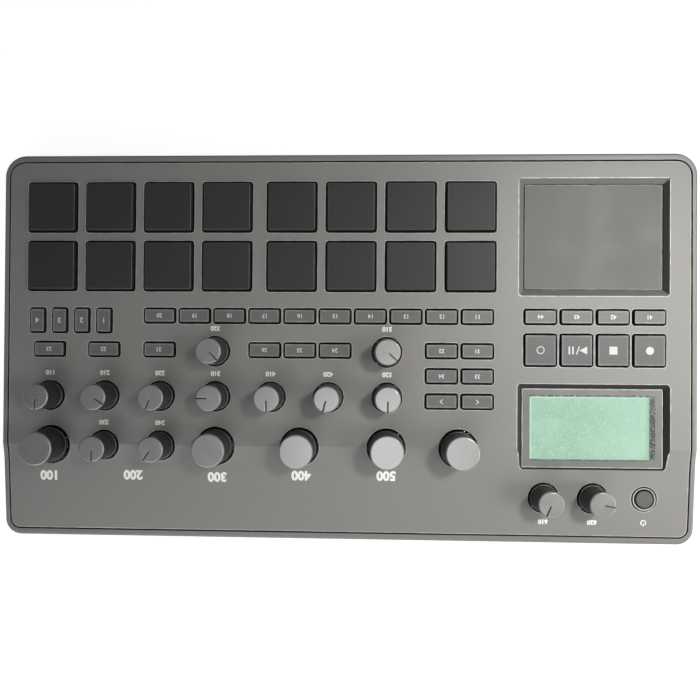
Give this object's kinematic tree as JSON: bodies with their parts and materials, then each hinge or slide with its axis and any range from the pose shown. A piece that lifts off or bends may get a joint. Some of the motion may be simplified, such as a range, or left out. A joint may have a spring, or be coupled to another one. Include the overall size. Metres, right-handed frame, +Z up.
{
  "type": "drum machine",
  "caption": "Table-top drum machine: wedge case with rubber pads, turning knobs and dials, press keys, touch plate, display window, rear sockets and a battery door.",
  "frame": {"origin": "middle of the footprint, on the table under the rubber feet", "axes": "+Z up; +X to the player's right; +Y away from the player, towards the sockets"},
  "size_m": [0.339, 0.189, 0.045],
  "materials": {
    "panel_metal": "satin painted cast metal",
    "case_plastic": "fine-grained moulded plastic",
    "pad_rubber": "matt silicone rubber",
    "key_plastic": "satin painted plastic",
    "knob_cap": "spun metal top on a black grip",
    "touch_surface": "smooth satin plastic",
    "window_clear": "clear plastic",
    "display_glass": "pale green display",
    "clear_ring": "clear plastic ring",
    "board_green": "solder-masked board",
    "control_metal": "plated steel",
    "socket_black": "moulded plastic and nickel",
    "foot_rubber": "rubber",
    "screw_steel": "blackened steel",
    "contact_metal": "nickel-plated spring steel"
  },
  "bodies": {
    "chassis": {"top_panel": "panel_metal", "upper_case": "panel_metal", "bottom_case": "case_plastic", "battery_contacts": "contact_metal", "touch_plate": "touch_surface", "display_window": "window_clear", "display_module": "display_glass", "bezel_rings": "clear_ring", "panel_board": "board_green", "main_board": "board_green", "control_bodies": "control_metal", "rear_sockets": "socket_black", "rubber_feet": "foot_rubber", "screws": "screw_steel"},
    "battery_door": {"battery_door": "case_plastic"},
    "pad_01": {"pad_01": "pad_rubber"},
    "pad_02": {"pad_02": "pad_rubber"},
    "pad_03": {"pad_03": "pad_rubber"},
    "pad_04": {"pad_04": "pad_rubber"},
    "pad_05": {"pad_05": "pad_rubber"},
    "pad_06": {"pad_06": "pad_rubber"},
    "pad_07": {"pad_07": "pad_rubber"},
    "pad_08": {"pad_08": "pad_rubber"},
    "pad_09": {"pad_09": "pad_rubber"},
    "pad_10": {"pad_10": "pad_rubber"},
    "pad_11": {"pad_11": "pad_rubber"},
    "pad_12": {"pad_12": "pad_rubber"},
    "pad_13": {"pad_13": "pad_rubber"},
    "pad_14": {"pad_14": "pad_rubber"},
    "pad_15": {"pad_15": "pad_rubber"},
    "pad_16": {"pad_16": "pad_rubber"},
    "tap_key": {"tap_key": "key_plastic"},
    "play_key": {"play_key": "key_plastic"},
    "stop_key": {"stop_key": "key_plastic"},
    "record_key": {"record_key": "key_plastic"},
    "power_key": {"power_key": "key_plastic"},
    "step_keys": {"step_keys": "key_plastic"},
    "number_keys": {"number_keys": "key_plastic"},
    "effect_keys": {"effect_keys": "key_plastic"},
    "filter_keys": {"filter_keys": "key_plastic"},
    "menu_keys": {"menu_keys": "key_plastic"},
    "touch_keys": {"touch_keys": "key_plastic"},
    "ifx_edit_knob": {"ifx_edit_knob": "knob_cap"},
    "decay_knob": {"decay_knob": "knob_cap"},
    "attack_knob": {"attack_knob": "knob_cap"},
    "depth_knob": {"depth_knob": "knob_cap"},
    "eg_int_knob": {"eg_int_knob": "knob_cap"},
    "resonance_knob": {"resonance_knob": "knob_cap"},
    "pitch_knob": {"pitch_knob": "knob_cap"},
    "pan_knob": {"pan_knob": "knob_cap"},
    "level_knob": {"level_knob": "knob_cap"},
    "speed_knob": {"speed_knob": "knob_cap"},
    "oscillator_edit_knob": {"oscillator_edit_knob": "knob_cap"},
    "input_level_knob": {"input_level_knob": "knob_cap"},
    "volume_knob": {"volume_knob": "knob_cap"},
    "insert_dial": {"insert_dial": "knob_cap"},
    "modulation_dial": {"modulation_dial": "knob_cap"},
    "filter_dial": {"filter_dial": "knob_cap"},
    "oscillator_dial": {"oscillator_dial": "knob_cap"},
    "main_dial": {"main_dial": "knob_cap"}
  },
  "joints": [
    {"name": "pad_01_press", "type": "slide", "parent": "chassis", "child": "pad_01", "axis": [0, 0.0628, -0.998], "range_m": [0, 0.0008], "stiffness_N_per_m": 400, "springref_m": -0.003},
    {"name": "pad_02_press", "type": "slide", "parent": "chassis", "child": "pad_02", "axis": [0, 0.0628, -0.998], "range_m": [0, 0.0008], "stiffness_N_per_m": 400, "springref_m": -0.003},
    {"name": "pad_03_press", "type": "slide", "parent": "chassis", "child": "pad_03", "axis": [0, 0.0628, -0.998], "range_m": [0, 0.0008], "stiffness_N_per_m": 400, "springref_m": -0.003},
    {"name": "pad_04_press", "type": "slide", "parent": "chassis", "child": "pad_04", "axis": [0, 0.0628, -0.998], "range_m": [0, 0.0008], "stiffness_N_per_m": 400, "springref_m": -0.003},
    {"name": "pad_05_press", "type": "slide", "parent": "chassis", "child": "pad_05", "axis": [0, 0.0628, -0.998], "range_m": [0, 0.0008], "stiffness_N_per_m": 400, "springref_m": -0.003},
    {"name": "pad_06_press", "type": "slide", "parent": "chassis", "child": "pad_06", "axis": [0, 0.0628, -0.998], "range_m": [0, 0.0008], "stiffness_N_per_m": 400, "springref_m": -0.003},
    {"name": "pad_07_press", "type": "slide", "parent": "chassis", "child": "pad_07", "axis": [0, 0.0628, -0.998], "range_m": [0, 0.0008], "stiffness_N_per_m": 400, "springref_m": -0.003},
    {"name": "pad_08_press", "type": "slide", "parent": "chassis", "child": "pad_08", "axis": [0, 0.0628, -0.998], "range_m": [0, 0.0008], "stiffness_N_per_m": 400, "springref_m": -0.003},
    {"name": "pad_09_press", "type": "slide", "parent": "chassis", "child": "pad_09", "axis": [0, 0.0628, -0.998], "range_m": [0, 0.0008], "stiffness_N_per_m": 400, "springref_m": -0.003},
    {"name": "pad_10_press", "type": "slide", "parent": "chassis", "child": "pad_10", "axis": [0, 0.0628, -0.998], "range_m": [0, 0.0008], "stiffness_N_per_m": 400, "springref_m": -0.003},
    {"name": "pad_11_press", "type": "slide", "parent": "chassis", "child": "pad_11", "axis": [0, 0.0628, -0.998], "range_m": [0, 0.0008], "stiffness_N_per_m": 400, "springref_m": -0.003},
    {"name": "pad_12_press", "type": "slide", "parent": "chassis", "child": "pad_12", "axis": [0, 0.0628, -0.998], "range_m": [0, 0.0008], "stiffness_N_per_m": 400, "springref_m": -0.003},
    {"name": "pad_13_press", "type": "slide", "parent": "chassis", "child": "pad_13", "axis": [0, 0.0628, -0.998], "range_m": [0, 0.0008], "stiffness_N_per_m": 400, "springref_m": -0.003},
    {"name": "pad_14_press", "type": "slide", "parent": "chassis", "child": "pad_14", "axis": [0, 0.0628, -0.998], "range_m": [0, 0.0008], "stiffness_N_per_m": 400, "springref_m": -0.003},
    {"name": "pad_15_press", "type": "slide", "parent": "chassis", "child": "pad_15", "axis": [0, 0.0628, -0.998], "range_m": [0, 0.0008], "stiffness_N_per_m": 400, "springref_m": -0.003},
    {"name": "pad_16_press", "type": "slide", "parent": "chassis", "child": "pad_16", "axis": [0, 0.0628, -0.998], "range_m": [0, 0.0008], "stiffness_N_per_m": 400, "springref_m": -0.003},
    {"name": "tap_key_press", "type": "slide", "parent": "chassis", "child": "tap_key", "axis": [0, 0.0628, -0.998], "range_m": [0, 0.0006], "stiffness_N_per_m": 120, "springref_m": -0.003},
    {"name": "play_key_press", "type": "slide", "parent": "chassis", "child": "play_key", "axis": [0, 0.0628, -0.998], "range_m": [0, 0.0006], "stiffness_N_per_m": 120, "springref_m": -0.003},
    {"name": "stop_key_press", "type": "slide", "parent": "chassis", "child": "stop_key", "axis": [0, 0.0628, -0.998], "range_m": [0, 0.0006], "stiffness_N_per_m": 120, "springref_m": -0.003},
    {"name": "record_key_press", "type": "slide", "parent": "chassis", "child": "record_key", "axis": [0, 0.0628, -0.998], "range_m": [0, 0.0006], "stiffness_N_per_m": 120, "springref_m": -0.003},
    {"name": "power_key_press", "type": "slide", "parent": "chassis", "child": "power_key", "axis": [0, 0.0628, -0.998], "range_m": [0, 0.0006], "stiffness_N_per_m": 40, "springref_m": -0.003},
    {"name": "step_keys_press", "type": "slide", "parent": "chassis", "child": "step_keys", "axis": [0, 0.0628, -0.998], "range_m": [0, 0.0006], "stiffness_N_per_m": 200, "springref_m": -0.003},
    {"name": "number_keys_press", "type": "slide", "parent": "chassis", "child": "number_keys", "axis": [0, 0.0628, -0.998], "range_m": [0, 0.0006], "stiffness_N_per_m": 200, "springref_m": -0.003},
    {"name": "effect_keys_press", "type": "slide", "parent": "chassis", "child": "effect_keys", "axis": [0, 0.0628, -0.998], "range_m": [0, 0.0006], "stiffness_N_per_m": 200, "springref_m": -0.003},
    {"name": "filter_keys_press", "type": "slide", "parent": "chassis", "child": "filter_keys", "axis": [0, 0.0628, -0.998], "range_m": [0, 0.0006], "stiffness_N_per_m": 200, "springref_m": -0.003},
    {"name": "menu_keys_press", "type": "slide", "parent": "chassis", "child": "menu_keys", "axis": [0, 0.0628, -0.998], "range_m": [0, 0.0006], "stiffness_N_per_m": 200, "springref_m": -0.003},
    {"name": "touch_keys_press", "type": "slide", "parent": "chassis", "child": "touch_keys", "axis": [0, 0.0628, -0.998], "range_m": [0, 0.0006], "stiffness_N_per_m": 200, "springref_m": -0.003},
    {"name": "ifx_edit_turn", "type": "hinge", "parent": "chassis", "child": "ifx_edit_knob", "pos_m": [0.1455, 0.02405, 0.02933], "axis": [0, 0.0628, -0.998], "range_deg": [-155, 145]},
    {"name": "decay_turn", "type": "hinge", "parent": "chassis", "child": "decay_knob", "pos_m": [0.118, 0.02405, 0.02933], "axis": [0, 0.0628, -0.998], "range_deg": [-92, 208]},
    {"name": "attack_turn", "type": "hinge", "parent": "chassis", "child": "attack_knob", "pos_m": [0.0905, 0.02405, 0.02933], "axis": [0, 0.0628, -0.998], "range_deg": [-175, 125]},
    {"name": "depth_turn", "type": "hinge", "parent": "chassis", "child": "depth_knob", "pos_m": [0.063, 0.02405, 0.02933], "axis": [0, 0.0628, -0.998], "range_deg": [-240, 60]},
    {"name": "eg_int_turn", "type": "hinge", "parent": "chassis", "child": "eg_int_knob", "pos_m": [0.0358, 0.02405, 0.02933], "axis": [0, 0.0628, -0.998], "range_deg": [-150, 150]},
    {"name": "resonance_turn", "type": "hinge", "parent": "chassis", "child": "resonance_knob", "pos_m": [0.0076, 0.02405, 0.02933], "axis": [0, 0.0628, -0.998], "range_deg": [-167, 133]},
    {"name": "pitch_turn", "type": "hinge", "parent": "chassis", "child": "pitch_knob", "pos_m": [-0.021, 0.02405, 0.02933], "axis": [0, 0.0628, -0.998], "range_deg": [-150, 150]},
    {"name": "pan_turn", "type": "hinge", "parent": "chassis", "child": "pan_knob", "pos_m": [0.1183, 0.0484, 0.03086], "axis": [0, 0.0628, -0.998], "range_deg": [-150, 150]},
    {"name": "level_turn", "type": "hinge", "parent": "chassis", "child": "level_knob", "pos_m": [0.0903, 0.0484, 0.03086], "axis": [0, 0.0628, -0.998], "range_deg": [-185, 115]},
    {"name": "speed_turn", "type": "hinge", "parent": "chassis", "child": "speed_knob", "pos_m": [0.0633, 0.00195, 0.02794], "axis": [0, 0.0628, -0.998], "range_deg": [-105, 195]},
    {"name": "oscillator_edit_turn", "type": "hinge", "parent": "chassis", "child": "oscillator_edit_knob", "pos_m": [-0.0209, 0.00195, 0.02794], "axis": [0, 0.0628, -0.998], "range_deg": [-103, 197]},
    {"name": "input_level_turn", "type": "hinge", "parent": "chassis", "child": "input_level_knob", "pos_m": [-0.0972, 0.0721, 0.03005], "axis": [0, 0.0628, -0.998], "range_deg": [-173, 127]},
    {"name": "volume_turn", "type": "hinge", "parent": "chassis", "child": "volume_knob", "pos_m": [-0.1207, 0.0721, 0.03005], "axis": [0, 0.0628, -0.998], "range_deg": [-70, 230]},
    {"name": "insert_turn", "type": "hinge", "parent": "chassis", "child": "insert_dial", "pos_m": [0.1449, 0.0484, 0.03086], "axis": [0, 0.0628, -0.998], "continuous": true},
    {"name": "modulation_turn", "type": "hinge", "parent": "chassis", "child": "modulation_dial", "pos_m": [0.0629, 0.0484, 0.03086], "axis": [0, 0.0628, -0.998], "continuous": true},
    {"name": "filter_turn", "type": "hinge", "parent": "chassis", "child": "filter_dial", "pos_m": [0.0216, 0.0484, 0.03086], "axis": [0, 0.0628, -0.998], "continuous": true},
    {"name": "oscillator_turn", "type": "hinge", "parent": "chassis", "child": "oscillator_dial", "pos_m": [-0.0208, 0.0484, 0.03086], "axis": [0, 0.0628, -0.998], "continuous": true},
    {"name": "main_turn", "type": "hinge", "parent": "chassis", "child": "main_dial", "pos_m": [-0.0557, 0.0484, 0.03086], "axis": [0, 0.0628, -0.998], "continuous": true},
    {"name": "battery_door_swing", "type": "hinge", "parent": "chassis", "child": "battery_door", "pos_m": [0, 0.0205, 0.002], "axis": [-1, 0, 0], "range_deg": [0, 95]}
  ]
}
